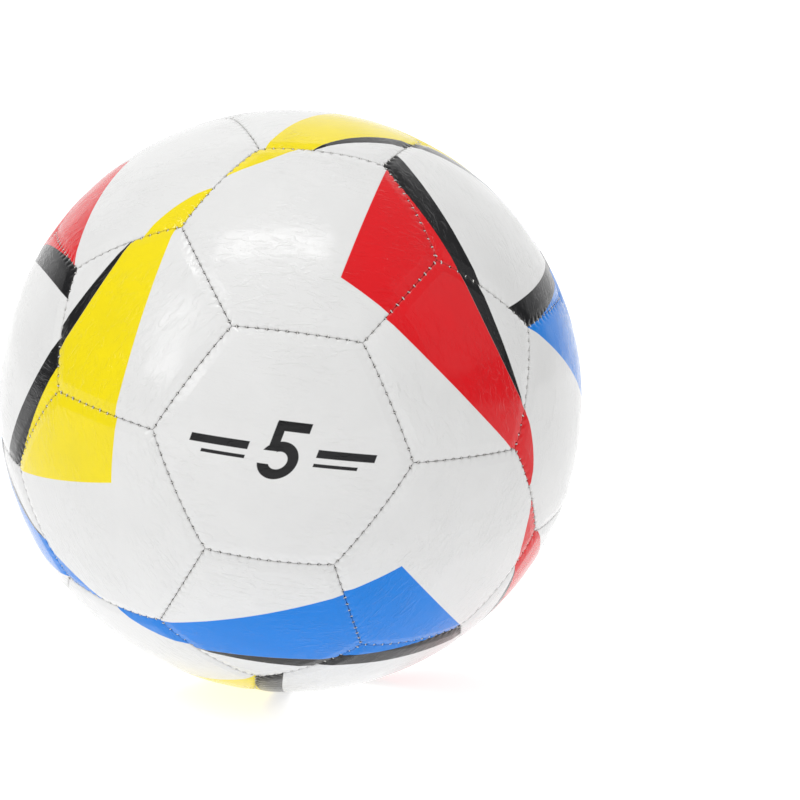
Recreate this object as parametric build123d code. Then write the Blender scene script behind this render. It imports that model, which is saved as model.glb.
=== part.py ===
from build123d import *

import os
from itertools import combinations, product
from math import asin, cos, degrees, pi, radians, sin, sqrt

# A size 5 hand-stitched football: 20 hexagon and 12 pentagon panels, each with its edges
# folded in and sewn to its neighbours, a foam and a cloth backing behind every panel,
# and a rubber bladder with a needle valve inside.
# The origin is the ball's centre, -Y the front panel, +Y the valve and +Z up. Millimetres.

# Whole ball
BALL_DIAMETER = 220.0
FRONT_PANEL_TURN = 7.5          # degrees, clockwise as seen from the front
BALL_RADIUS = BALL_DIAMETER / 2

# Layers, from the outside in
SKIN_THICKNESS = 1.2
FOAM_THICKNESS = 2.4
LINING_THICKNESS = 1.0
BLADDER_THICKNESS = 1.1
PATCH_THICKNESS = 1.2
LAYER_GAP = 0.05

# Seams
SEAM_GAP = 0.05                 # from a panel's rim to the seam's middle plane
EDGE_ROLL = 2.0                 # rounding where a panel turns in to its rim
CORNER_ROLL = 1.6               # rounding of the rim at a panel's corners
THREAD_DIAMETER = 0.6
THREAD_CLEARANCE = 0.03
THREAD_END_CLEARANCE = 2.0      # how far a seam's thread stops short of the panel corners

# Valve, along +Y
PANEL_VALVE_HOLE_DIAMETER = 8.6
BACKING_VALVE_HOLE_DIAMETER = 8.8
BLADDER_VALVE_HOLE_DIAMETER = 8.2
VALVE_NECK_DIAMETER = 8.0
VALVE_FLANGE_DIAMETER = 19.0
VALVE_FLANGE_THICKNESS = 1.6
VALVE_BARREL_DIAMETER = 11.0
VALVE_BARREL_LENGTH = 13.0
VALVE_RECESS = 0.7              # the neck's top below the ball's surface
CORE_DIAMETER = 5.4
CORE_RECESS = 0.5               # the core's top below the neck's top
CORE_BEAD_DIAMETER = 6.6
CORE_BEAD_HEIGHT = 2.0
CORE_CLEARANCE = 0.05
CORE_FLOOR = 1.2                # the barrel's end wall, below the core
NEEDLE_DIAMETER = 2.0
NEEDLE_LEAD_IN = 0.5
AIR_HOLE_DIAMETER = 3.0
PATCH_DIAMETER = 38.0

CAP_HEIGHT = 0.3 * BALL_RADIUS  # more than any panel's corners lie below its middle
CUT_THROUGH = 1.0               # how far a cutting tool runs past what it cuts

# Radii that follow from the layers
SKIN_INNER = BALL_RADIUS - SKIN_THICKNESS
FOAM_OUTER = SKIN_INNER - LAYER_GAP
FOAM_INNER = FOAM_OUTER - FOAM_THICKNESS
LINING_OUTER = FOAM_INNER - LAYER_GAP
LINING_INNER = LINING_OUTER - LINING_THICKNESS
BLADDER_OUTER = LINING_INNER - LAYER_GAP
BLADDER_INNER = BLADDER_OUTER - BLADDER_THICKNESS
PATCH_OUTER = BLADDER_INNER - LAYER_GAP
PATCH_INNER = PATCH_OUTER - PATCH_THICKNESS

# Distances of the valve's parts from the ball's centre
NECK_TOP = BALL_RADIUS - VALVE_RECESS
FLANGE_TOP = PATCH_INNER - LAYER_GAP
FLANGE_LOW = FLANGE_TOP - VALVE_FLANGE_THICKNESS
BARREL_TOP = FLANGE_TOP - VALVE_FLANGE_THICKNESS / 2    # inside the domed flange
BARREL_LOW = FLANGE_LOW - VALVE_BARREL_LENGTH
CORE_TOP = NECK_TOP - CORE_RECESS
CORE_SPACE_LOW = BARREL_LOW + CORE_FLOOR
CORE_LOW = CORE_SPACE_LOW + CORE_CLEARANCE
CORE_BEAD_MIDDLE = (FLANGE_LOW + BARREL_LOW) / 2

# The panels are the faces of a truncated icosahedron, seen from its centre
GOLDEN_RATIO = (1 + sqrt(5)) / 2
ICOSAHEDRON_EDGE = 2.0          # for corners at 0, 1 and the golden ratio
EDGE_TOLERANCE = 0.01
SMALL_SHARE = 0.1               # of a direction along an axis that it is square to
COLOURS = ("red", "yellow", "blue")


def icosahedron_corners():
    """The 12 pentagon centres, before the ball is turned to face the front."""
    corners = []
    for turn in range(3):
        for long, short in product((GOLDEN_RATIO, -GOLDEN_RATIO), (1, -1)):
            corner = [0, long, short]
            corners.append(Vector(*(corner[-turn:] + corner[:-turn])))
    return corners


def is_edge(a, b):
    return abs((a - b).length - ICOSAHEDRON_EDGE) < EDGE_TOLERANCE


def is_face(trio):
    return all(is_edge(*pair) for pair in combinations(trio, 2))


CORNERS = icosahedron_corners()
EDGES = [pair for pair in combinations(CORNERS, 2) if is_edge(*pair)]
FACES = [trio for trio in combinations(CORNERS, 3) if is_face(trio)]


def panel_corner(near, far):
    """The corner a third of the way along an icosahedron edge, where three panels meet."""
    return (near * 2 + far).normalized()


SAMPLE_CORNER = panel_corner(*EDGES[0])
SEAM_ANGLE = SAMPLE_CORNER.get_angle(panel_corner(EDGES[0][1], EDGES[0][0]))
PENTAGON_REACH = SAMPLE_CORNER.get_angle(EDGES[0][0])
HEXAGON_REACH = panel_corner(*FACES[0][:2]).get_angle(sum(FACES[0][1:], FACES[0][0]))


def side_angle(sides):
    """The angle from a panel's centre line to the middle of one of its sides."""
    reach = PENTAGON_REACH if sides == 5 else HEXAGON_REACH
    return degrees(asin(sin(radians(reach)) * cos(pi / sides) / cos(radians(SEAM_ANGLE / 2))))


# The front hexagon and the one above it fix how the ball is turned
FRONT = Vector(1, 1, 1).normalized()
ABOVE_FRONT = Vector(1, GOLDEN_RATIO ** 2, 0)
UP = (ABOVE_FRONT - FRONT * ABOVE_FRONT.dot(FRONT)).normalized()
RIGHT = UP.cross(FRONT)


def to_ball(direction):
    """A direction of the icosahedron, in the ball's own frame."""
    upright = Vector(direction.dot(RIGHT), -direction.dot(FRONT), direction.dot(UP))
    return upright.rotate(Axis.Y, FRONT_PANEL_TURN).normalized()


def cap(radius):
    """The part of a solid ball that lies under any one panel centred on +Z."""
    slab = Pos(0, 0, BALL_RADIUS) * Box(BALL_DIAMETER, BALL_DIAMETER, 2 * CAP_HEIGHT)
    return Rot(0, 90, 0) * Sphere(radius) & slab


def trim_sides(solid, sides, set_back):
    """Cuts a panel's outline, its side planes set back from the seams' middle planes."""
    slope = radians(side_angle(sides))
    for side in range(sides):
        outward = Vector(cos(slope), 0, -sin(slope)).rotate(Axis.Z, 360 * (side + 0.5) / sides)
        solid = split(solid, Plane(origin=outward * -set_back, z_dir=outward), Keep.BOTTOM)
    return solid


def layer(sides, inner, outer, set_back):
    return trim_sides(cap(outer) - cap(inner), sides, set_back)


def valve_hole(diameter):
    """A drill through all the layers, along a panel's centre line."""
    return Pos(0, 0, BALL_RADIUS) * Cylinder(diameter / 2, BALL_RADIUS / 2)


def panel_skin(sides):
    """A panel with rolled edges and its rim folded in, open at the back like a tray."""
    block = layer(sides, LINING_INNER, BALL_RADIUS, SEAM_GAP)
    block = fillet(block.edges().filter_by(GeomType.LINE), CORNER_ROLL)
    outside = block.faces().filter_by(GeomType.SPHERE).sort_by(SortBy.AREA)[-1]
    block = fillet(outside.edges(), EDGE_ROLL)
    return block - trim_sides(cap(SKIN_INNER), sides, SEAM_GAP + SKIN_THICKNESS)


def panel_backing(sides, inner, outer):
    return layer(sides, inner, outer, SEAM_GAP + SKIN_THICKNESS + LAYER_GAP)


def panel_place(centre, corner):
    """Puts a panel made on +Z at its place, with a corner of its outline towards corner."""
    axis = to_ball(centre)
    towards = to_ball(corner)
    return Plane(origin=(0, 0, 0), x_dir=towards - axis * towards.dot(axis), z_dir=axis)


def seam_thread():
    """One seam's run of thread, which lies in the groove between the rolled edges."""
    radius = THREAD_DIAMETER / 2
    roll_centre = BALL_RADIUS - EDGE_ROLL
    rise = sqrt((EDGE_ROLL + radius + THREAD_CLEARANCE) ** 2 - (EDGE_ROLL + SEAM_GAP) ** 2)
    arc = SEAM_ANGLE - 2 * degrees(THREAD_END_CLEARANCE / BALL_RADIUS)
    section = Plane.XZ * Pos(roll_centre + rise, 0) * Circle(radius)
    return Rot(0, 0, -arc / 2) * revolve(section, Axis.Z, revolution_arc=arc)


def seam_places():
    """A plane for each of the 90 seams: x to the seam's middle, z across it."""
    ends = [(panel_corner(a, b), panel_corner(b, a)) for a, b in EDGES]
    for trio in FACES:
        for near in trio:
            ends.append(tuple(panel_corner(near, far) for far in trio if far is not near))
    for start, end in ends:
        start, end = to_ball(start), to_ball(end)
        yield Plane(origin=(0, 0, 0), x_dir=start + end, z_dir=start.cross(end))


def dome_disc(diameter, inner, outer):
    """A round piece cut from a shell, centred on +Z."""
    shell = Sphere(outer) - Sphere(inner)
    return shell & Pos(0, 0, outer) * Cylinder(diameter / 2, outer / 2)


def upright_cylinder(diameter, low, high):
    """A cylinder on +Z between two distances from the ball's centre."""
    return Pos(0, 0, (low + high) / 2) * Cylinder(diameter / 2, high - low)


def core_shape(low, high, grown):
    """The core's outer shape with its locking bead, made larger by grown all round."""
    stem = upright_cylinder(CORE_DIAMETER + 2 * grown, low, high)
    bead_half = CORE_BEAD_HEIGHT / 2 + grown
    bead_low, bead_high = CORE_BEAD_MIDDLE - bead_half, CORE_BEAD_MIDDLE + bead_half
    return stem + upright_cylinder(CORE_BEAD_DIAMETER + 2 * grown, bead_low, bead_high)


def valve_housing():
    """The rubber valve: a neck that shows in the panel, a flange and a barrel inside."""
    flange = dome_disc(VALVE_FLANGE_DIAMETER, FLANGE_LOW, FLANGE_TOP)
    neck = upright_cylinder(VALVE_NECK_DIAMETER, FLANGE_LOW, NECK_TOP)
    barrel = upright_cylinder(VALVE_BARREL_DIAMETER, BARREL_LOW, BARREL_TOP)
    core_space = core_shape(CORE_SPACE_LOW, NECK_TOP + CUT_THROUGH, CORE_CLEARANCE)
    air_hole = upright_cylinder(AIR_HOLE_DIAMETER, BARREL_LOW - CUT_THROUGH, CORE_SPACE_LOW + CUT_THROUGH)
    return flange + neck + barrel - core_space - air_hole


def valve_core():
    """The plug in the housing, with the channel that the needle goes through."""
    plug = core_shape(CORE_LOW, CORE_TOP, 0)
    channel = upright_cylinder(NEEDLE_DIAMETER, CORE_LOW - CUT_THROUGH, CORE_TOP + CUT_THROUGH)
    mouth_low = CORE_TOP - NEEDLE_LEAD_IN
    mouth_radius = NEEDLE_DIAMETER / 2 + NEEDLE_LEAD_IN
    mouth_middle = (mouth_low + CORE_TOP) / 2
    mouth = Pos(0, 0, mouth_middle) * Cone(NEEDLE_DIAMETER / 2, mouth_radius, NEEDLE_LEAD_IN)
    print(f"needle channel from y={CORE_LOW:.2f} to y={mouth_low:.2f} mm")
    return plug - channel - mouth


def bladder():
    drill = Pos(0, 0, BLADDER_OUTER) * Cylinder(BLADDER_VALVE_HOLE_DIAMETER / 2, BLADDER_OUTER / 2)
    return Sphere(BLADDER_OUTER) - Sphere(BLADDER_INNER) - drill


def valve_patch():
    disc = dome_disc(PATCH_DIAMETER, PATCH_INNER, PATCH_OUTER)
    return disc - valve_hole(BLADDER_VALVE_HOLE_DIAMETER)


def named_panels():
    """Each panel's node name, number of sides, centre and one corner of its outline."""
    counts = {}
    panels = []
    for trio in FACES:
        centre = sum(trio[1:], trio[0]).normalized()
        sizes = sorted((abs(size), index) for index, size in enumerate(centre))
        if centre.get_angle(-FRONT) < SEAM_ANGLE:
            kind = "valve_hexagon_panel"
        elif sizes[0][0] < SMALL_SHARE:
            kind = f"{COLOURS[sizes[1][1]]}_hexagon_panel"
        elif centre.X * centre.Y * centre.Z > 0:
            kind = "plain_hexagon_panel"
        else:
            kind = "striped_hexagon_panel"
        panels.append((kind, 6, centre, panel_corner(*trio[:2])))
    for corner in CORNERS:
        sizes = sorted((abs(size), index) for index, size in enumerate(corner))
        neighbour = next(other for other in CORNERS if is_edge(corner, other))
        kind = f"{COLOURS[sizes[2][1]]}_pentagon_panel"
        panels.append((kind, 5, corner, panel_corner(corner, neighbour)))
    for kind, sides, centre, corner in panels:
        counts[kind] = counts.get(kind, 0) + 1
        name = kind if kind.startswith("valve") else f"{kind}_{counts[kind]}"
        yield name, sides, centre, corner


def main():
    os.makedirs("parts", exist_ok=True)
    names = {5: "pentagon", 6: "hexagon"}
    skins = {sides: panel_skin(sides) for sides in names}
    foams = {sides: panel_backing(sides, FOAM_INNER, FOAM_OUTER) for sides in names}
    linings = {sides: panel_backing(sides, LINING_INNER, LINING_OUTER) for sides in names}
    placed_foams = {sides: [] for sides in names}
    placed_linings = {sides: [] for sides in names}

    for name, sides, centre, corner in named_panels():
        place = panel_place(centre, corner)
        skin, foam, lining = skins[sides], foams[sides], linings[sides]
        if name == "valve_hexagon_panel":
            skin = skin - valve_hole(PANEL_VALVE_HOLE_DIAMETER)
            foam = foam - valve_hole(BACKING_VALVE_HOLE_DIAMETER)
            lining = lining - valve_hole(BACKING_VALVE_HOLE_DIAMETER)
        export_step(place * skin, f"parts/{name}.step")
        placed_foams[sides].append(place * foam)
        placed_linings[sides].append(place * lining)

    for sides, word in names.items():
        export_step(Compound(children=placed_foams[sides]), f"parts/{word}_foam_backings.step")
        export_step(Compound(children=placed_linings[sides]), f"parts/{word}_cloth_linings.step")

    thread = seam_thread()
    export_step(Compound(children=[place * thread for place in seam_places()]), "parts/seam_thread.step")

    valve_place = Plane(origin=(0, 0, 0), x_dir=(1, 0, 0), z_dir=(0, 1, 0))
    valve_pieces = {
        "bladder": bladder(),
        "valve_patch": valve_patch(),
        "valve_housing": valve_housing(),
        "valve_core": valve_core(),
    }
    for name, piece in valve_pieces.items():
        export_step(valve_place * piece, f"parts/{name}.step")


main()
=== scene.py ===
from itertools import combinations, product

import bpy
import numpy as np
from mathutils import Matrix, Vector, noise


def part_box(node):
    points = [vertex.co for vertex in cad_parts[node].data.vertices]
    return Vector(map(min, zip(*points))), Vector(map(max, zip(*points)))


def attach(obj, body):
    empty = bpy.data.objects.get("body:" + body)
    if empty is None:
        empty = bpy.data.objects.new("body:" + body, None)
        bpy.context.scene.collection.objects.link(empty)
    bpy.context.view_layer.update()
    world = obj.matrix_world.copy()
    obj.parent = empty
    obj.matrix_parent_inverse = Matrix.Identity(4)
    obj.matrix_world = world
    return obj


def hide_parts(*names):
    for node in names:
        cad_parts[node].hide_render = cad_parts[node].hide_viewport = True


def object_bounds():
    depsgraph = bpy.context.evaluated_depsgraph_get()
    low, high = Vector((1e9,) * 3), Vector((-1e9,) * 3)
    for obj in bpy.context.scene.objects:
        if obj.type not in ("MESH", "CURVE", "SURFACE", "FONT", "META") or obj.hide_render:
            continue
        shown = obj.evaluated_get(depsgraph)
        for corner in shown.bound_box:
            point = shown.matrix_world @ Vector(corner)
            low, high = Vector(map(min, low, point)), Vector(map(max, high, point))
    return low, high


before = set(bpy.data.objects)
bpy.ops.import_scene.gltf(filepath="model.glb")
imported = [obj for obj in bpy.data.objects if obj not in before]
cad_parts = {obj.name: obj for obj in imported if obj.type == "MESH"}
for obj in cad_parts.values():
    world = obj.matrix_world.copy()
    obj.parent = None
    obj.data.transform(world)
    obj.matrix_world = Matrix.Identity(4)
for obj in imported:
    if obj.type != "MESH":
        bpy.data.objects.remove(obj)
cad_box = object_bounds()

# The looks of a hand-stitched football, in metres, in the row's own frame: the ball's centre
# is the origin, -Y the front panel, +Y the valve, +Z up. Panel outlines and prints are given
# in millimetres on the panel laid flat, x to the right and y up as seen from outside.
MM = 0.001
GOLDEN_RATIO = (1 + 5 ** 0.5) / 2

BALL_RADIUS = (cad_box[1][2] - cad_box[0][2]) / 2
FLOOR_HEIGHT = cad_box[0][2]
FRONT_PANEL_TURN = np.radians(7.5)
TOLERANCE = 1.01                 # for angles of the pattern that are meant to be equal

# Seams and stitches
STITCHES = 13                    # on each of the 90 seams
STATIONS = (-0.5, -0.25, -0.15, -0.075, 0.0, 0.075, 0.15, 0.25)   # mesh points, in stitches off a hole
COARSE = 4                       # away from the seams, one in so many of those points
ROLL_RADIUS = 0.33 * MM          # of a panel's edge, where it turns in to the seam
SEAM_GAP = 0.015 * MM            # from the seam's middle plane to a folded rim
HOLE_OPENING = 0.40 * MM         # how far a needle hole pushes a rim back
HOLE_LENGTH = 0.50 * MM
OPENING_REACH = 0.7 * MM         # how far from the seam the skin is pushed back with the rim
HOLE_PULL = 0.17 * MM            # how deep the stitches pull the edge down
HOLE_PULL_REACH = 1.5 * MM
BORDER_DROP = 0.42 * MM          # the flattened border along a seam, and the ridge it ends in
BORDER_WIDTH = 3.9 * MM
BORDER_SOFTNESS = 0.42 * MM
RIDGE = 0.05 * MM
CORNER_DIP = 0.35 * MM           # where three panels meet
CORNER_REACH = 2.0 * MM
RIPPLE = 0.06 * MM               # tension ripples between the stitches
RIPPLE_REACH = 3.4 * MM
UNDULATION = 0.10 * MM           # slow waves over a whole panel
WAVES_PER_METRE = (55, 130)      # of the slow waves, and of the smaller ones over them

# A panel's sheet and its mesh
SKIN_THICKNESS = 1.2 * MM
RIM_DEPTH = 4.7 * MM
VALVE_HOLE_RADIUS = 4.3 * MM
INNER_RINGS = ((14, 1.0), (5, 1.0), (2, 1.15))      # set-in in mm, drop in skin thicknesses
FOLD_DROP = 1.6                  # where the rim turns down from the sheet, in skin thicknesses
ROLL_TURNS = (90, 8, 8)          # degrees at the start and the end of the edge's roll, and its rings
BORDER_RINGS = (0.85, 1.15, 1.5, 1.9)               # set-in in mm
SHOULDER_RINGS = (2.5, 3.0, 3.4, 3.75, 4.1, 4.5, 5.0, 6.0, 7.4)
RING_SPACING = 2.7 * MM          # on the rest of the panel
MIDDLE_GAP = 1.4 * MM            # from the last ring to the panel's middle or the valve hole
HOLE_ROUNDING = ((0.5, 0.0), (0.15, 0.1), (0.0, 0.35))   # back from the hole's wall and drop, in mm
PANEL_SPACING = 37.0             # between the panels' places in the textures, in mm

# The sewing thread: a crossing's points, across in thread spreads, along and below in mm
THREAD_RADIUS = 0.22 * MM
THREAD_SPREAD = 1.3 * MM         # from the seam's middle plane to where the thread runs behind a rim
THREAD_CROSSING = ((-1, -0.9, 2.0), (-0.86, -0.3, 1.3), (-0.35, -0.12, 0.80), (0, 0, 0.68),
                   (0.35, 0.12, 0.80), (0.86, 0.3, 1.3), (1, 0.9, 2.0))
THREAD_SLACK = 0.10              # how much the depth changes from stitch to stitch, in mm
THREAD_SIDES = 8
PLIES = 2.0
PLY_TWIST = 7.0                  # radians a millimetre

# Colours, as they are on the material
WHITE = (0.73, 0.73, 0.725)
BLACK = (0.008, 0.008, 0.009)
# grime and painted shade darkening the skin along the seams
GRIME_AND_SEAM_SHADE = (0.20, 0.19, 0.18)
PRINT_COLOURS = {
    "red": (0.70, 0.007, 0.012),
    "yellow": (0.86, 0.70, 0.006),
    "blue": (0.003, 0.205, 0.71),
}
TIP_COLOUR = {"red": "yellow", "yellow": "blue", "blue": "red"}

# Where the print of each colour sits on its panels, off its true place
PENTAGON_SHIFT = {"red": (0.0, -1.7), "yellow": (0.0, 2.1), "blue": (0.0, 0.2)}
BLOCK_SHIFT = {"red": (1.4, -0.2), "yellow": (-0.8, 1.2), "blue": (-0.8, -0.9)}

# Print outlines: an arc through three points, or a straight edge through two
SWEEP_LOWER = ((-26.5, -18.0), (2.0, -7.0), (36.2, 11.8))
SWEEP_UPPER = ((-27.0, 18.6), (-5.0, 17.5), (23.0, 21.9))
SWEEP_BLACK = ((-19.0, 23.7), (0.0, 21.9), (20.0, 21.8))
BLOCK_END = ((10.6, -18.2), (22.8, 38.0))
BLOCK_LOWER = ((10.6, -18.2), (30.9, -28.1))
TIP_EDGE = ((-33.6, 22.4), (-21.0, 29.4), (-8.9, 39.2))
STRIPE_OUTER = ((-28.4, -29.4), (2.0, -29.2), (33.0, -23.4))
STRIPE_INNER = ((-12.0, -39.9), (8.0, -37.1), (30.0, -31.3))
STRIPE_COLOURS = ("red", "blue", "yellow")
PRINT_SOFTNESS = 0.11
CREASE_STRETCH = (0.13, 0.36, 1.0)   # creases are longer across a panel than up it

# The numeral, upright and before its slant: middles and sizes in mm
NUMERAL_SLANT = 0.24
FIVE_TOP = ((0.9, 8.6), (11.4, 3.4))
FIVE_STEM = ((-3.3, 5.4), (3.2, 9.0))
FIVE_BOWL_MIDDLE = (-0.4, -3.2)
FIVE_BOWL_RADII = (3.1, 6.6)
FIVE_BOWL_GAP = ((-5.6, -2.5), (7.6, 4.6))
SIDE_BARS = (((21.5, 0.6), (20.0, 2.8)), ((19.0, -3.4), (15.0, 1.2)))

# The room, and its brightness from behind the camera (0) to behind the ball (1)
WALL_BRIGHTNESS = ((0.0, 0.33), (0.36, 0.33), (0.46, 0.26), (0.72, 0.26), (0.84, 1.05), (1.0, 1.15))
CEILING_BRIGHTNESS = 0.34
CEILING_HEIGHTS = (0.55, 0.85)   # where the ceiling's light starts and where it is full, of 1 overhead
FLOOR_TONES = (0.52, 0.55)
FLOOR_GLOW = (0.76, 0.95)        # of the lit table, near the ball and far from it; weaker near the ball, a painted shade round its foot
FLOOR_GLOW_REACH = (0.3, 1.6)    # where near ends and far begins
FLOOR_REACH = 12.0
SOFTBOXES = {                    # direction, distance, size, watts and roll in degrees
    "top_softbox": ((-0.08, -0.37, 0.92), 1.0, (0.64, 0.20), 3.9, 10.0),
    "left_softbox": ((-0.65, -0.57, 0.46), 1.2, (0.27, 0.56), 2.5, 0.0),
    "right_fill": ((0.75, -0.20, 0.45), 1.4, (0.90, 0.90), 1.6, 0.0),
}

CAMERA_AZIMUTH = np.radians(1.79)
CAMERA_ELEVATION = np.radians(8.79)
CAMERA_DISTANCE = 7.616 * BALL_RADIUS
CAMERA_PAN = 0.049               # how far right of the ball it looks, of its distance
LENS = 98.9                      # mm, with a 36 mm sensor
SENSOR_WIDTH = 36.0


# ---------------------------------------------------------------- the panel pattern

def unit(vector):
    vector = np.asarray(vector, float)
    return vector / np.linalg.norm(vector)


def angle_between(a, b):
    return np.arccos(np.clip(np.dot(a, b), -1, 1))


def to_ball(direction):
    """A direction of the upright icosahedron, turned as the ball is turned."""
    front = unit((1, 1, 1))
    above = np.array((1, GOLDEN_RATIO ** 2, 0))
    up = unit(above - front * above.dot(front))
    x, y, z = direction.dot(np.cross(up, front)), -direction.dot(front), direction.dot(up)
    turn_cos, turn_sin = np.cos(FRONT_PANEL_TURN), np.sin(FRONT_PANEL_TURN)
    return np.array((x * turn_cos + z * turn_sin, y, z * turn_cos - x * turn_sin))


PENTAGONS = [to_ball(unit(np.roll((0, long, short), turn)))
             for turn in range(3)
             for long, short in product((GOLDEN_RATIO, -GOLDEN_RATIO), (1, -1))]
PENTAGON_SPACING = min(angle_between(a, b) for a, b in combinations(PENTAGONS, 2)) * TOLERANCE
PENTAGON_PAIRS = [pair for pair in combinations(PENTAGONS, 2) if angle_between(*pair) < PENTAGON_SPACING]
HEXAGONS = [unit(sum(trio)) for trio in combinations(PENTAGONS, 3)
            if all(angle_between(*pair) < PENTAGON_SPACING for pair in combinations(trio, 2))]
CORNERS = [unit(2 * near + far) for a, b in PENTAGON_PAIRS for near, far in ((a, b), (b, a))]
SEAM_ANGLE = min(angle_between(CORNERS[0], other) for other in CORNERS[1:])
SEAMS = [pair for pair in combinations(CORNERS, 2) if angle_between(*pair) < SEAM_ANGLE * TOLERANCE]
SEAM_LENGTH = SEAM_ANGLE * BALL_RADIUS
STITCH_PITCH = SEAM_LENGTH / STITCHES


def side_angle(sides):
    """The angle from a panel's centre line to the middle of one of its sides."""
    centre = PENTAGONS[0] if sides == 5 else HEXAGONS[0]
    reach = min(angle_between(centre, corner) for corner in CORNERS)
    return np.arcsin(np.sin(reach) * np.cos(np.pi / sides) / np.cos(SEAM_ANGLE / 2))


def node_at(centre):
    """The CAD panel whose middle lies in this direction."""
    names = [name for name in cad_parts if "_panel" in name]
    return max(names, key=lambda name: np.dot(unit(sum(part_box(name), Vector())), centre))


PANELS = {node_at(centre): (5, centre) for centre in PENTAGONS}
PANELS.update({node_at(centre): (6, centre) for centre in HEXAGONS})


def panel_kind(name):
    """plain, striped, red, yellow or blue."""
    kind = name.split("_")[0]
    return "striped" if kind == "valve" else kind


def panel_axes(name):
    """A panel's right, up and outward directions. Its print's foot points at one neighbour."""
    sides, centre = PANELS[name]
    foot_kind = "red_hexagon" if panel_kind(name) in ("plain", "striped") else "plain_hexagon"
    candidates = [other for key, (_, other) in PANELS.items() if key.startswith(foot_kind)]
    foot = min(candidates, key=lambda other: angle_between(centre, other))
    up = unit(centre * foot.dot(centre) - foot)
    return np.cross(up, centre), up, centre


# ---------------------------------------------------------------- panel meshes

def rim_profile():
    """Set-in from the seam, drop below the ball's surface and coarseness, from inside to out."""
    inside = [(set_in * MM, drop * SKIN_THICKNESS, COARSE) for set_in, drop in INNER_RINGS]
    inside += [(SKIN_THICKNESS, FOLD_DROP * SKIN_THICKNESS, 1), (SKIN_THICKNESS, RIM_DEPTH, 1)]
    flange = [(0.0, RIM_DEPTH, 1), (0.0, 0.5 * RIM_DEPTH, 1), (0.0, 2 * ROLL_RADIUS, 1)]
    turns = np.radians(np.linspace(*ROLL_TURNS))
    roll = [(ROLL_RADIUS * (1 - np.sin(a)), ROLL_RADIUS * (1 - np.cos(a)), 1) for a in turns]
    border = [(set_in * MM, 0.0, 1) for set_in in BORDER_RINGS]
    shoulder = [(set_in * MM, 0.0, COARSE) for set_in in SHOULDER_RINGS]
    return inside + flange + roll + border + shoulder


def stitch_wave(phase):
    """1 at a needle hole and 0 half-way between two."""
    return 0.5 + 0.5 * np.cos(2 * np.pi * phase)


def border_drop(set_in):
    """How far the skin lies below the ball's surface at a distance from its seam."""
    inward = np.logaddexp(0, (BORDER_WIDTH - set_in) / BORDER_SOFTNESS)
    slope = inward * BORDER_SOFTNESS / BORDER_WIDTH
    ridge = np.exp(-((set_in - BORDER_WIDTH) / (2 * BORDER_SOFTNESS)) ** 2)
    return BORDER_DROP * slope - RIDGE * ridge


def outline_stations(sides):
    """The bearing, reach, distance from a corner and phase of the points round a panel's outline.

    The phase is the distance from the nearest needle hole, in stitches."""
    slope = side_angle(sides)
    stitches = np.arange(STITCHES)[:, None] + 0.5
    phase = np.tile(STATIONS, STITCHES)
    along = ((stitches + np.array(STATIONS)).ravel() / STITCHES - 0.5) * SEAM_LENGTH
    swing = along / BALL_RADIUS
    bearings, reaches = [], []
    for side in range(sides):
        facing = -np.pi / 2 + 2 * np.pi * side / sides
        x = np.sin(slope) * np.cos(swing)
        y = np.sin(swing)
        bearings.append(facing + np.arctan2(y, x))
        reaches.append(BALL_RADIUS * np.arccos(np.cos(slope) * np.cos(swing)))
    from_corner = np.tile(SEAM_LENGTH / 2 - np.abs(along), sides)
    return np.concatenate(bearings), np.concatenate(reaches), from_corner, np.tile(phase, sides)


def panel_rings(sides, hole_radius):
    """The rings of points of a whole panel, from the inner middle to the outer one."""
    wall = side_angle(sides) * BALL_RADIUS - hole_radius
    rings = rim_profile()
    last = rings[-1][0]
    count = int((wall - last) / RING_SPACING)
    steps = np.linspace(last, wall - MIDDLE_GAP, count)[1:]
    rings += [(step, 0.0, COARSE) for step in steps]
    if hole_radius:
        rings += [(wall - back * MM, drop * MM, COARSE) for back, drop in HOLE_ROUNDING]
        rings.append((wall, 0.9 * SKIN_THICKNESS, COARSE))
    return rings


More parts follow.
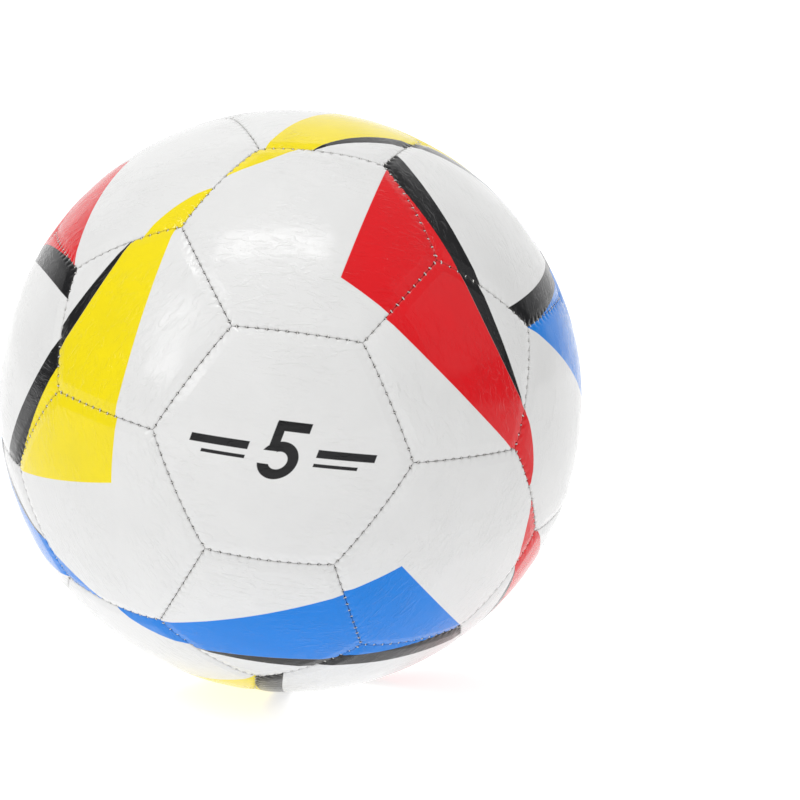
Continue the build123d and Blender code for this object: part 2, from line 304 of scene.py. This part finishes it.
def panel_mesh(name):
    """A panel's closed skin: rings of points from its inner middle, round the rim, to its outer one."""
    sides, _ = PANELS[name]
    right, up, out = panel_axes(name)
    hole_radius = VALVE_HOLE_RADIUS if name.startswith("valve") else 0.0
    apothem = side_angle(sides) * BALL_RADIUS
    stations = outline_stations(sides)
    points, flat, edge_distance, faces = [], [], [], []
    starts, counts = [], []
    for set_in, drop, coarseness in panel_rings(sides, hole_radius):
        bearing, reach, from_corner, phase = (values[::coarseness] for values in stations)
        outside = drop < SKIN_THICKNESS or set_in == 0
        opening = SEAM_GAP + HOLE_OPENING * np.exp(-(phase * STITCH_PITCH / HOLE_LENGTH) ** 2)
        moved = set_in + opening * np.exp(-set_in / OPENING_REACH)
        distance = hole_radius + (reach - hole_radius) * (1 - moved / (apothem - hole_radius))
        depth = drop + border_drop(np.full(len(reach), set_in))
        if outside:
            wave = stitch_wave(phase)
            depth += HOLE_PULL * wave ** 2 * np.exp(-(set_in / HOLE_PULL_REACH) ** 2)
            depth += RIPPLE * wave * np.exp(-(set_in / RIPPLE_REACH) ** 2)
            corner = np.hypot(from_corner, set_in)
            depth += CORNER_DIP * np.exp(-(corner / CORNER_REACH) ** 2)
        bend = distance / BALL_RADIUS
        x, y = np.cos(bearing), np.sin(bearing)
        direction = (np.sin(bend)[:, None] * (x[:, None] * right + y[:, None] * up)
                     + np.cos(bend)[:, None] * out)
        starts.append(starts[-1] + counts[-1] if starts else 0)
        counts.append(len(bearing))
        points.append(direction * (BALL_RADIUS - depth)[:, None])
        flat.append(np.stack([distance * x, distance * y], 1))
        edge_distance.append(np.full(len(bearing), set_in))
    for ring in range(len(starts) - 1):
        faces += bridge(starts[ring], counts[ring], starts[ring + 1], counts[ring + 1])
    points, flat, edge_distance = map(np.concatenate, (points, flat, edge_distance))
    slow, quick = WAVES_PER_METRE
    waves = np.array([noise.noise(Vector(point * slow)) + 0.5 * noise.noise(Vector(point * quick))
                      for point in points])
    points = points * (1 + UNDULATION * waves / BALL_RADIUS)[:, None]
    if hole_radius:
        faces += bridge(starts[-1], counts[-1], starts[0], counts[0])
    else:
        inner_middle, outer_middle = len(points), len(points) + 1
        points = np.vstack([points, out * (BALL_RADIUS - SKIN_THICKNESS), out * BALL_RADIUS])
        flat = np.vstack([flat, np.zeros((2, 2))])
        edge_distance = np.append(edge_distance, (apothem, apothem))
        faces += [(b, a, inner_middle) for a, b in neighbours(starts[0], counts[0])]
        faces += [(a, b, outer_middle) for a, b in neighbours(starts[-1], counts[-1])]
    mesh = bpy.data.meshes.new(f"{name}_skin")
    mesh.from_pydata(points.tolist(), [], faces)
    number = sorted(PANELS).index(name)
    place = np.column_stack([flat / MM, np.full(len(flat), PANEL_SPACING * number)])
    add_attribute(mesh, "panel_mm", "FLOAT_VECTOR", place)
    add_attribute(mesh, "seam_mm", "FLOAT", edge_distance / MM)
    mesh.polygons.foreach_set("use_smooth", [True] * len(mesh.polygons))
    return mesh


def neighbours(start, count):
    """Pairs of points next to each other round a ring."""
    return [(start + i, start + (i + 1) % count) for i in range(count)]


def bridge(lower, lower_count, upper, upper_count):
    """The faces between two rings, of which one may have fewer points."""
    if lower_count == upper_count:
        pairs = zip(neighbours(lower, lower_count), neighbours(upper, upper_count))
        return [(a, b, d, c) for (a, b), (c, d) in pairs]
    faces, low, high = [], 0, 0
    while low < lower_count or high < upper_count:
        here, there = lower + low % lower_count, upper + high % upper_count
        low_is_behind = low < lower_count and (low + 1) * upper_count <= (high + 1) * lower_count
        if high == upper_count or low_is_behind:
            low += 1
            faces.append((here, lower + low % lower_count, there))
        else:
            high += 1
            faces.append((here, upper + high % upper_count, there))
    return faces


def add_attribute(mesh, name, kind, values):
    attribute = mesh.attributes.new(name, kind, "POINT")
    field = "vector" if kind == "FLOAT_VECTOR" else "value"
    attribute.data.foreach_set(field, np.asarray(values, np.float32).ravel())


def add_piece(name, mesh, material, slot, *nodes):
    """A visual piece on the ball's one body, in place of some CAD nodes."""
    piece = bpy.data.objects.new(name, mesh)
    bpy.context.scene.collection.objects.link(piece)
    mesh.materials.append(material)
    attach(piece, "root")
    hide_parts(*nodes)


# ---------------------------------------------------------------- the sewing thread

def thread_path(seam):
    """The thread's line in millimetres: along, across and below one seam.

    It crosses from one rim to the other at each needle hole, and runs behind the rims between."""
    pitch, spread = STITCH_PITCH / MM, THREAD_SPREAD / MM
    path = []
    for stitch in range(STITCHES):
        hole = (stitch + 0.5 - STITCHES / 2) * pitch
        side = 1 if (stitch + seam) % 2 else -1
        slack = THREAD_SLACK * np.sin(5.0 * stitch + 2.0 * seam)
        for across, along, depth in THREAD_CROSSING:
            path.append((hole + along, side * across * spread, depth + slack))
    return np.array(path) * MM


def thread_mesh():
    """One tube along each seam's thread."""
    points, faces, twist = [], [], []
    turns = 2 * np.pi * np.arange(THREAD_SIDES) / THREAD_SIDES
    for seam, (first, second) in enumerate(SEAMS):
        middle = unit(first + second)
        side = unit(np.cross(first, second))
        along_seam = np.cross(side, middle)
        along, across, depth = thread_path(seam).T
        bend = along / BALL_RADIUS
        out = np.cos(bend)[:, None] * middle + np.sin(bend)[:, None] * along_seam
        centres = out * (BALL_RADIUS - depth)[:, None] + across[:, None] * side
        heading = np.gradient(centres, axis=0)
        heading /= np.linalg.norm(heading, axis=1)[:, None]
        level = np.cross(heading, out)
        level /= np.linalg.norm(level, axis=1)[:, None]
        lift = np.cross(level, heading)
        length = np.append(0, np.cumsum(np.linalg.norm(np.diff(centres, axis=0), axis=1))) / MM
        first_point = len(points)
        for ring, centre in enumerate(centres):
            for turn in turns:
                offset = np.cos(turn) * level[ring] + np.sin(turn) * lift[ring]
                points.append(centre + THREAD_RADIUS * offset)
                twist.append((length[ring], turn, seam))
        starts = [first_point + ring * THREAD_SIDES for ring in range(len(centres))]
        for lower, upper in zip(starts, starts[1:]):
            faces += bridge(lower, THREAD_SIDES, upper, THREAD_SIDES)
        faces.append(tuple(range(starts[0] + THREAD_SIDES - 1, starts[0] - 1, -1)))
        faces.append(tuple(range(starts[-1], starts[-1] + THREAD_SIDES)))
    mesh = bpy.data.meshes.new("seam_stitches")
    mesh.from_pydata([tuple(point) for point in points], [], faces)
    add_attribute(mesh, "twist", "FLOAT_VECTOR", twist)
    mesh.polygons.foreach_set("use_smooth", [True] * len(mesh.polygons))
    return mesh


# ---------------------------------------------------------------- material nodes

class Shader:
    """A material's node tree, with short calls for the nodes used here."""

    def __init__(self, name):
        self.material = bpy.data.materials.new(name)
        self.material.use_nodes = True
        self.nodes = self.material.node_tree.nodes
        self.links = self.material.node_tree.links
        self.surface = self.nodes["Principled BSDF"]

    def put(self, socket, value):
        if isinstance(value, bpy.types.NodeSocket):
            self.links.new(value, socket)
        elif socket.type == "RGBA" and len(value) == 3:
            socket.default_value = (*value, 1.0)
        else:
            socket.default_value = value

    def set(self, name, value):
        self.put(self.surface.inputs[name], value)

    def math(self, operation, *values):
        node = self.nodes.new("ShaderNodeMath")
        node.operation = operation
        for socket, value in zip(node.inputs, values):
            self.put(socket, value)
        return node.outputs[0]

    def vector(self, operation, *values, output=0):
        node = self.nodes.new("ShaderNodeVectorMath")
        node.operation = operation
        for socket, value in zip(node.inputs, values):
            self.put(socket, value)
        return node.outputs[output]

    def attribute(self, name, output="Vector"):
        node = self.nodes.new("ShaderNodeAttribute")
        node.attribute_name = name
        return node.outputs[output]

    def object_place(self):
        return self.nodes.new("ShaderNodeTexCoord").outputs["Object"]

    def noise(self, place, scale, detail=3.0, roughness=0.5, distortion=0.0):
        node = self.nodes.new("ShaderNodeTexNoise")
        self.put(node.inputs["Vector"], place)
        node.inputs["Scale"].default_value = scale
        node.inputs["Detail"].default_value = detail
        node.inputs["Roughness"].default_value = roughness
        node.inputs["Distortion"].default_value = distortion
        return node.outputs[0]

    def cells(self, place, scale):
        node = self.nodes.new("ShaderNodeTexVoronoi")
        self.put(node.inputs["Vector"], place)
        node.inputs["Scale"].default_value = scale
        return node.outputs["Distance"]

    def spread(self, value, low, high, to_low=0.0, to_high=1.0):
        node = self.nodes.new("ShaderNodeMapRange")
        for socket, number in zip(node.inputs, (value, low, high, to_low, to_high)):
            self.put(socket, number)
        return node.outputs[0]

    def mix(self, share, first, second):
        node = self.nodes.new("ShaderNodeMix")
        node.data_type = "RGBA"
        self.put(node.inputs["Factor"], share)
        self.put(node.inputs[6], first)
        self.put(node.inputs[7], second)
        return node.outputs[2]

    def bump(self, height, strength, distance, under=None):
        node = self.nodes.new("ShaderNodeBump")
        self.put(node.inputs["Height"], height)
        node.inputs["Strength"].default_value = strength
        node.inputs["Distance"].default_value = distance
        if under is not None:
            self.put(node.inputs["Normal"], under)
        return node.outputs[0]

    def turned(self, place, degrees):
        """The flat panel place, turned back by some degrees."""
        node = self.nodes.new("ShaderNodeVectorRotate")
        node.rotation_type = "Z_AXIS"
        self.put(node.inputs["Vector"], place)
        node.inputs["Angle"].default_value = np.radians(-degrees)
        return node.outputs[0]

    def shifted(self, place, shift):
        return self.vector("SUBTRACT", place, (shift[0], shift[1], 0.0))

    def flat(self, place):
        """The place with no height, so that distances are measured on the panel."""
        return self.vector("MULTIPLY", place, (1.0, 1.0, 0.0))

    def left_of(self, place, outline):
        """Millimetres to the left of an outline, which runs through two or three points."""
        if len(outline) == 2:
            (x1, y1), (x2, y2) = outline
            normal = unit((y1 - y2, x2 - x1))
            offset = float(np.dot(normal, (x1, y1)))
            dot = self.vector("DOT_PRODUCT", place, (*normal, 0.0), output=1)
            return self.math("SUBTRACT", dot, offset)
        centre, radius, turns_left = circle_through(*outline)
        away = self.vector("DISTANCE", place, (*centre, 0.0), output=1)
        if turns_left:
            return self.math("SUBTRACT", radius, away)
        return self.math("SUBTRACT", away, radius)

    def inked(self, distance):
        """1 inside a printed area and 0 outside it, from the distance to its edge."""
        return self.spread(distance, -PRINT_SOFTNESS, PRINT_SOFTNESS)


def circle_through(a, b, c):
    """Centre and radius of the circle through three points, and whether it turns left."""
    (ax, ay), (bx, by), (cx, cy) = a, b, c
    cross = 2 * ((bx - ax) * (cy - ay) - (by - ay) * (cx - ax))
    b_square = (bx - ax) ** 2 + (by - ay) ** 2
    c_square = (cx - ax) ** 2 + (cy - ay) ** 2
    x = ((cy - ay) * b_square - (by - ay) * c_square) / cross
    y = ((bx - ax) * c_square - (cx - ax) * b_square) / cross
    return (ax + x, ay + y), float(np.hypot(x, y)), cross > 0


# ---------------------------------------------------------------- prints on the panels

def pentagon_print(shader, place, kind):
    """A colour sweep with a black edge above it."""
    place = shader.shifted(place, PENTAGON_SHIFT[kind])
    above_lower = shader.left_of(place, SWEEP_LOWER)
    above_upper = shader.left_of(place, SWEEP_UPPER)
    below_black = shader.math("MULTIPLY", shader.left_of(place, SWEEP_BLACK), -1.0)
    sweep = shader.math("MINIMUM", above_lower, shader.math("MULTIPLY", above_upper, -1.0))
    black = shader.math("MINIMUM", above_upper, below_black)
    return [(sweep, PRINT_COLOURS[kind]), (black, BLACK)]


def block_print(shader, place, kind):
    """A block of one colour at the right and the tip of another's sweep at the upper left."""
    moved = shader.shifted(place, BLOCK_SHIFT[kind])
    beside = shader.math("MULTIPLY", shader.left_of(moved, BLOCK_END), -1.0)
    block = shader.math("MINIMUM", beside, shader.left_of(moved, BLOCK_LOWER))
    tip = shader.left_of(place, TIP_EDGE)
    return [(block, PRINT_COLOURS[kind]), (tip, PRINT_COLOURS[TIP_COLOUR[kind]])]


def stripe_print(shader, place):
    """Three black stripes along alternate sides, each with a sliver of colour outside it."""
    areas = []
    for turn, colour in enumerate(STRIPE_COLOURS):
        turned = shader.turned(place, 120 * turn)
        below_outer = shader.math("MULTIPLY", shader.left_of(turned, STRIPE_OUTER), -1.0)
        below_inner = shader.math("MULTIPLY", shader.left_of(turned, STRIPE_INNER), -1.0)
        areas.append((below_outer, BLACK))
        areas.append((below_inner, PRINT_COLOURS[colour]))
    return areas


def rectangle(shader, place, middle, size):
    """Distance inside a rectangle's edges."""
    off = shader.vector("ABSOLUTE", shader.shifted(place, middle))
    inside = shader.vector("SUBTRACT", (size[0] / 2, size[1] / 2, 0.0), off)
    split = shader.nodes.new("ShaderNodeSeparateXYZ")
    shader.put(split.inputs[0], inside)
    return shader.math("MINIMUM", split.outputs[0], split.outputs[1])


def numeral_print(shader, place):
    """The ball's size, a slanted 5 between two pairs of bars, its head towards the panel's foot."""
    upright = shader.turned(place, 180)
    split = shader.nodes.new("ShaderNodeSeparateXYZ")
    shader.put(split.inputs[0], upright)
    leaned = shader.math("MULTIPLY", split.outputs[1], -NUMERAL_SLANT)
    join = shader.nodes.new("ShaderNodeCombineXYZ")
    shader.put(join.inputs[0], shader.math("ADD", split.outputs[0], leaned))
    shader.put(join.inputs[1], split.outputs[1])
    mark = join.outputs[0]
    top = rectangle(shader, mark, *FIVE_TOP)
    stem = rectangle(shader, mark, *FIVE_STEM)
    away = shader.vector("DISTANCE", mark, (*FIVE_BOWL_MIDDLE, 0.0), output=1)
    inner, outer = FIVE_BOWL_RADII
    within, beyond = shader.math("SUBTRACT", outer, away), shader.math("SUBTRACT", away, inner)
    ring = shader.math("MINIMUM", within, beyond)
    gap = rectangle(shader, mark, *FIVE_BOWL_GAP)
    bowl = shader.math("MINIMUM", ring, shader.math("MULTIPLY", gap, -1.0))
    inked = shader.math("MAXIMUM", shader.math("MAXIMUM", top, stem), bowl)
    for (x, y), size in SIDE_BARS:
        for side in (-1, 1):
            inked = shader.math("MAXIMUM", inked, rectangle(shader, mark, (side * x, y), size))
    return [(inked, BLACK)]


PRINTS = {"plain": numeral_print, "striped": stripe_print}


# ---------------------------------------------------------------- materials

def vinyl(kind, shape):
    """Glossy printed vinyl with a fine grain, soft creases, and a little grime and painted shade at the
    seams.
    """
    shader = Shader(f"vinyl_{kind}_{shape}")
    panel = shader.attribute("panel_mm")
    place = shader.flat(panel)
    if kind in PRINTS:
        areas = PRINTS[kind](shader, place)
    elif shape == "pentagon":
        areas = pentagon_print(shader, place, kind)
    else:
        areas = block_print(shader, place, kind)
    mottle = shader.noise(panel, scale=0.06, detail=4.0, roughness=0.6)
    dull_white = tuple(0.965 * part for part in WHITE)
    colour = shader.mix(shader.spread(mottle, 0.3, 0.7), WHITE, dull_white)
    for distance, ink in areas:
        worn = tuple(0.92 * part + 0.004 for part in ink)
        inked = shader.mix(shader.spread(mottle, 0.25, 0.75), ink, worn)
        colour = shader.mix(shader.inked(distance), colour, inked)
    # Darker up to 0.8 mm from a seam: partly grime, partly painted shade in the seam's groove, flecked by
    # a noise.
    near_seam = shader.spread(shader.attribute("seam_mm", "Fac"), 0.0, 0.8, 0.24, 0.0)
    specks = shader.noise(panel, scale=0.9, detail=3.0, roughness=0.65)
    grime_and_seam_shade = shader.math("MULTIPLY", near_seam, shader.spread(specks, 0.35, 0.7, 0.4, 1.0))
    colour = shader.mix(grime_and_seam_shade, colour, GRIME_AND_SEAM_SHADE)
    shader.set("Base Color", colour)

    stretched = shader.vector("MULTIPLY", panel, CREASE_STRETCH)
    swells = shader.noise(stretched, scale=1.0, detail=3.0, roughness=0.5, distortion=1.4)
    folds = shader.math("ABSOLUTE", shader.math("SUBTRACT", swells, 0.5))
    crease_height = shader.math("ADD", swells, shader.spread(folds, 0.0, 0.10, 0.0, 0.16))
    patches = shader.spread(shader.noise(panel, scale=0.035, detail=2.0), 0.40, 0.60, 0.20, 1.0)
    crease_height = shader.math("MULTIPLY", crease_height, patches)
    grain = shader.cells(panel, scale=1.9)
    orange_peel = shader.noise(panel, scale=1.1, detail=2.0, roughness=0.5)
    normal = shader.bump(crease_height, strength=0.85, distance=0.42 * MM)
    normal = shader.bump(orange_peel, strength=0.10, distance=0.2 * MM, under=normal)
    normal = shader.bump(grain, strength=0.08, distance=0.1 * MM, under=normal)
    shader.set("Normal", normal)
    rubbed = shader.noise(panel, scale=0.22, detail=5.0, roughness=0.65)
    shader.set("Roughness", shader.spread(rubbed, 0.3, 0.7, 0.07, 0.13))
    shader.set("Specular IOR Level", 0.19)
    shader.set("Coat Weight", 0.10)
    shader.set("Coat Roughness", 0.03)
    return shader.material


def thread_material():
    """Waxed polyester, two plies twisted with painted shade in the grooves between them, slightly fuzzy
    and dirty.
    """
    shader = Shader("waxed_thread")
    twist = shader.attribute("twist")
    split = shader.nodes.new("ShaderNodeSeparateXYZ")
    shader.put(split.inputs[0], twist)
    climb = shader.math("MULTIPLY", split.outputs[0], PLY_TWIST)
    ply = shader.math("SINE", shader.math("ADD", climb, shader.math("MULTIPLY", split.outputs[1], PLIES)))
    ply = shader.spread(ply, -1.0, 1.0)
    fuzz = shader.noise(shader.object_place(), scale=2600.0, detail=3.0)
    # Darker in the grooves between the plies and lighter on their crowns, following the ply bump: painted
    # shade.
    tone = shader.mix(ply, (0.44, 0.43, 0.41), (0.80, 0.80, 0.78))
    tone = shader.mix(shader.spread(fuzz, 0.4, 0.8, 0.0, 0.5), tone, (0.58, 0.57, 0.54))
    shader.set("Base Color", tone)
    plies = shader.bump(ply, strength=0.8, distance=0.12 * MM)
    shader.set("Normal", shader.bump(fuzz, strength=0.4, distance=0.1 * MM, under=plies))
    shader.set("Roughness", shader.spread(fuzz, 0.3, 0.7, 0.45, 0.7))
    return shader.material


def rubber(name, tone, lift):
    """Moulded rubber with a dusty bloom and a fine pitted skin."""
    shader = Shader(name)
    place = shader.object_place()
    bloom = shader.noise(place, scale=90.0, detail=5.0, roughness=0.65)
    pits = shader.cells(place, scale=1400.0)
    shader.set("Base Color", shader.mix(shader.spread(bloom, 0.35, 0.75), tone, lift))
    shader.set("Roughness", shader.spread(bloom, 0.3, 0.7, 0.42, 0.68))
    dusty = shader.bump(bloom, strength=0.25, distance=0.3 * MM)
    shader.set("Normal", shader.bump(pits, strength=0.35, distance=0.1 * MM, under=dusty))
    return shader.material


def foam_material():
    """Closed-cell foam sheet."""
    shader = Shader("closed_cell_foam")
    place = shader.object_place()
    cells = shader.cells(place, scale=900.0)
    stain = shader.noise(place, scale=60.0, detail=4.0)
    fresh, yellowed = (0.86, 0.84, 0.77), (0.78, 0.75, 0.66)
    shader.set("Base Color", shader.mix(shader.spread(stain, 0.3, 0.7), fresh, yellowed))
    shader.set("Roughness", shader.spread(cells, 0.0, 0.6, 0.75, 0.95))
    shader.set("Normal", shader.bump(cells, strength=0.6, distance=0.2 * MM))
    return shader.material


def cloth_material():
    """Plain-weave cotton lining, glued behind the foam, with painted shade in the hollows of the weave.
    """
    shader = Shader("lining_cloth")
    place = shader.object_place()
    yarn_pitch = 0.9 * MM
    weave_scale = 2 * np.pi / yarn_pitch
    split = shader.nodes.new("ShaderNodeSeparateXYZ")
    shader.put(split.inputs[0], place)
    yarns = [shader.math("SINE", shader.math("MULTIPLY", axis, weave_scale)) for axis in split.outputs]
    weave = shader.math("MULTIPLY", shader.math("ADD", yarns[0], yarns[1]), yarns[2])
    slubs = shader.noise(place, scale=420.0, detail=4.0, roughness=0.7)
    # Darker in the hollows between the yarns, following the weave bump: painted shade; the slubs add real
    # tone.
    raised = shader.spread(weave, -2.0, 2.0, 0.0, 0.7)
    weave_shade_and_slubs = shader.math("ADD", raised, shader.math("MULTIPLY", slubs, 0.3))
    shader.set("Base Color", shader.mix(weave_shade_and_slubs, (0.52, 0.49, 0.41), (0.80, 0.77, 0.68)))
    shader.set("Roughness", shader.spread(slubs, 0.3, 0.7, 0.8, 0.95))
    shader.set("Normal", shader.bump(weave, strength=0.7, distance=0.15 * MM))
    return shader.material


# ---------------------------------------------------------------- building the ball

def build_panels():
    """A skin for each CAD panel. Panels with the same print share a material."""
    materials = {}
    for name, (sides, _) in sorted(PANELS.items()):
        key = (panel_kind(name), "pentagon" if sides == 5 else "hexagon")
        if key not in materials:
            materials[key] = vinyl(*key)
        add_piece(f"{name}_skin", panel_mesh(name), materials[key], "panel_skin", name)


def dress_cad_nodes():
    """Materials for the nodes whose CAD shape stays."""
    black_rubber = rubber("bladder_rubber", (0.012, 0.012, 0.012), (0.045, 0.044, 0.042))
    looks = {
        "bladder": black_rubber,
        "valve_patch": black_rubber,
        "valve_housing": rubber("valve_rubber", (0.016, 0.016, 0.017), (0.05, 0.05, 0.05)),
        "valve_core": rubber("valve_core_rubber", (0.008, 0.008, 0.008), (0.03, 0.03, 0.03)),
        "hexagon_foam_backings": foam_material(),
        "hexagon_cloth_linings": cloth_material(),
    }
    looks["pentagon_foam_backings"] = looks["hexagon_foam_backings"]
    looks["pentagon_cloth_linings"] = looks["hexagon_cloth_linings"]
    for node, material in looks.items():
        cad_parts[node].data.materials.clear()
        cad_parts[node].data.materials.append(material)


# ---------------------------------------------------------------- stage, light and camera

def floor():
    """A plain pale table that glows as if lit from below; its glow is weaker near the ball, a painted
    shade round the ball's foot.
    """
    shader = Shader("pale_floor")
    place = shader.object_place()
    haze = shader.noise(place, scale=3.0, detail=2.0)
    away = shader.vector("LENGTH", place, output=1)
    shader.set("Base Color", shader.mix(haze, *((tone, tone, tone) for tone in FLOOR_TONES)))
    shader.set("Roughness", 0.7)
    shader.set("Emission Color", (1.0, 1.0, 1.0))
    # The glow fades towards the ball: painted shade on the table round the ball's foot.
    shader.set("Emission Strength", shader.spread(away, *FLOOR_GLOW_REACH, *FLOOR_GLOW))
    corners = [(-1, -1), (1, -1), (1, 1), (-1, 1)]
    mesh = bpy.data.meshes.new("floor")
    mesh.from_pydata([(x * FLOOR_REACH, y * FLOOR_REACH, FLOOR_HEIGHT) for x, y in corners], [],
                     [(0, 1, 2, 3)])
    mesh.materials.append(shader.material)
    sheet = bpy.data.objects.new("floor", mesh)
    bpy.context.scene.collection.objects.link(sheet)


def softbox(name, direction, distance, size, power, roll):
    """A rectangular area light that faces the ball."""
    light = bpy.data.lights.new(name, "AREA")
    light.shape = "RECTANGLE"
    light.size, light.size_y = size
    light.energy = power
    lamp = bpy.data.objects.new(name, light)
    lamp.location = Vector(direction).normalized() * distance
    facing = lamp.location.to_track_quat("Z", "Y")
    lamp.rotation_euler = facing.to_euler()
    lamp.rotation_euler.rotate_axis("Z", np.radians(roll))
    bpy.context.scene.collection.objects.link(lamp)


def surroundings():
    """A white screen behind the ball, a dim room behind the camera and at the sides."""
    world = bpy.data.worlds.new("studio")
    world.use_nodes = True
    nodes, links = world.node_tree.nodes, world.node_tree.links
    split = nodes.new("ShaderNodeSeparateXYZ")
    links.new(nodes.new("ShaderNodeTexCoord").outputs["Generated"], split.inputs[0])
    depth = nodes.new("ShaderNodeMapRange")
    links.new(split.outputs["Y"], depth.inputs["Value"])
    depth.inputs["From Min"].default_value = -1.0
    walls = nodes.new("ShaderNodeValToRGB")
    links.new(depth.outputs[0], walls.inputs["Fac"])
    stops = walls.color_ramp.elements
    while len(stops) < len(WALL_BRIGHTNESS):
        stops.new(0.5)
    for stop, (place, brightness) in zip(stops, WALL_BRIGHTNESS):
        stop.position = place
        stop.color = (brightness, brightness, brightness, 1.0)
    ceiling = nodes.new("ShaderNodeMapRange")
    links.new(split.outputs["Z"], ceiling.inputs["Value"])
    for socket, number in zip(list(ceiling.inputs)[1:5], (*CEILING_HEIGHTS, 0.0, CEILING_BRIGHTNESS)):
        socket.default_value = number
    total = nodes.new("ShaderNodeMath")
    links.new(walls.outputs["Color"], total.inputs[0])
    links.new(ceiling.outputs[0], total.inputs[1])
    links.new(total.outputs[0], nodes["Background"].inputs["Strength"])
    nodes["Background"].inputs["Color"].default_value = (1.0, 1.0, 1.0, 1.0)
    bpy.context.scene.world = world


def camera():
    """The ball left of the picture's middle, seen from just above its own middle."""
    ahead, across = np.cos(CAMERA_AZIMUTH), np.sin(CAMERA_AZIMUTH)
    level, height = np.cos(CAMERA_ELEVATION), np.sin(CAMERA_ELEVATION)
    back = Vector((across * level, -ahead * level, height))
    right = Vector((ahead, across, 0.0))
    data = bpy.data.cameras.new("camera")
    data.sensor_width = SENSOR_WIDTH
    data.lens = LENS
    eye = bpy.data.objects.new("camera", data)
    eye.location = back * CAMERA_DISTANCE
    looks_past = right * (CAMERA_PAN * CAMERA_DISTANCE)
    eye.rotation_euler = (eye.location - looks_past).to_track_quat("Z", "Y").to_euler()
    bpy.context.scene.collection.objects.link(eye)
    bpy.context.scene.camera = eye


build_panels()
add_piece("seam_stitches", thread_mesh(), thread_material(), "thread", "seam_thread")
dress_cad_nodes()
floor()
surroundings()
for light_name, setting in SOFTBOXES.items():
    softbox(light_name, *setting)
camera()
bpy.context.scene.view_settings.view_transform = "Standard"
